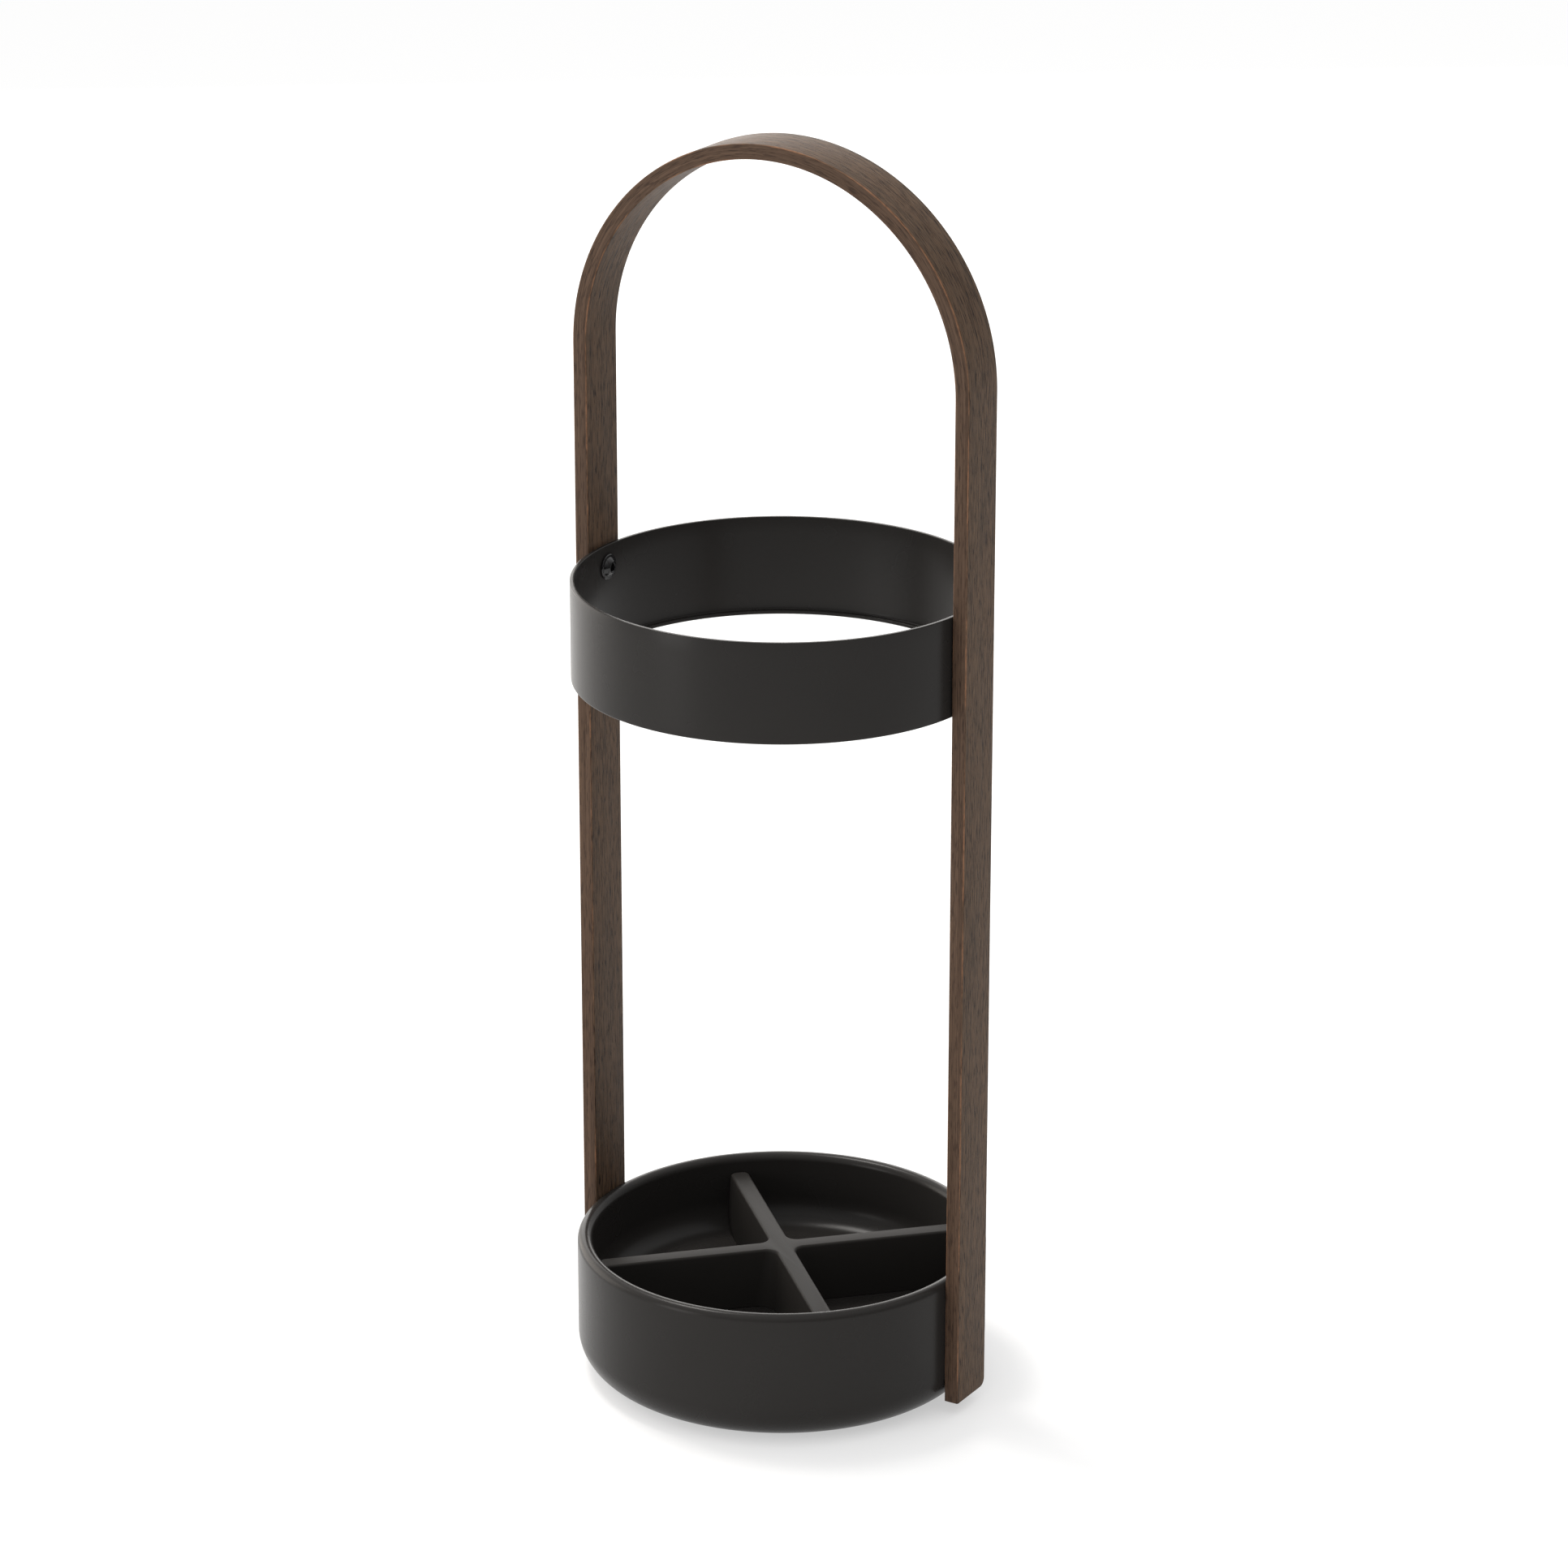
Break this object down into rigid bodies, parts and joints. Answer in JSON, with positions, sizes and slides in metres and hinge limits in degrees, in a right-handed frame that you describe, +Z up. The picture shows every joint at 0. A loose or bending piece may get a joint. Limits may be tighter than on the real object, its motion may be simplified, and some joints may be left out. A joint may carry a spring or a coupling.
{
  "type": "umbrella stand",
  "caption": "Free-standing umbrella stand: a bentwood hoop with an open upper ring and a round weighted bowl base with a loose cross-shaped divider.",
  "frame": {"origin": "on the floor, under the centre of the base", "axes": "+Z up; the hoop stands in the XZ plane with its legs at -X and +X; -Y is the front"},
  "size_m": [0.232, 0.217, 0.665],
  "materials": {
    "walnut_stain": "dark walnut stain, satin lacquer, slightly worn along the edges",
    "satin_black": "satin black moulded",
    "divider_black": "soft matte charcoal",
    "cover_black": "fine-textured black",
    "black_steel": "black oxide, slightly glossy",
    "zinc_steel": "zinc plated",
    "insert_brass": "turned",
    "ballast_iron": "raw casting",
    "foot_rubber": "moulded rubber"
  },
  "bodies": {
    "stand": {"bentwood_hoop": "walnut_stain", "upper_ring": "satin_black", "base_shell": "satin_black", "ballast_plate": "ballast_iron", "bottom_cover": "cover_black", "ring_screw_left": "black_steel", "ring_insert_left": "insert_brass", "ring_screw_right": "black_steel", "ring_insert_right": "insert_brass", "base_screw_left_front": "black_steel", "base_insert_left_front": "insert_brass", "base_screw_left_back": "black_steel", "base_insert_left_back": "insert_brass", "base_screw_right_front": "black_steel", "base_insert_right_front": "insert_brass", "base_screw_right_back": "black_steel", "base_insert_right_back": "insert_brass", "cover_screw_1": "zinc_steel", "rubber_foot_1": "foot_rubber", "cover_screw_2": "zinc_steel", "rubber_foot_2": "foot_rubber", "cover_screw_3": "zinc_steel", "rubber_foot_3": "foot_rubber", "cover_screw_4": "zinc_steel", "rubber_foot_4": "foot_rubber"},
    "divider": {"divider_insert": "divider_black"}
  },
  "joints": [
    {"name": "divider_lift", "type": "slide", "parent": "stand", "child": "divider", "axis": [0, 0, 1], "range_m": [0, 0.15]}
  ]
}
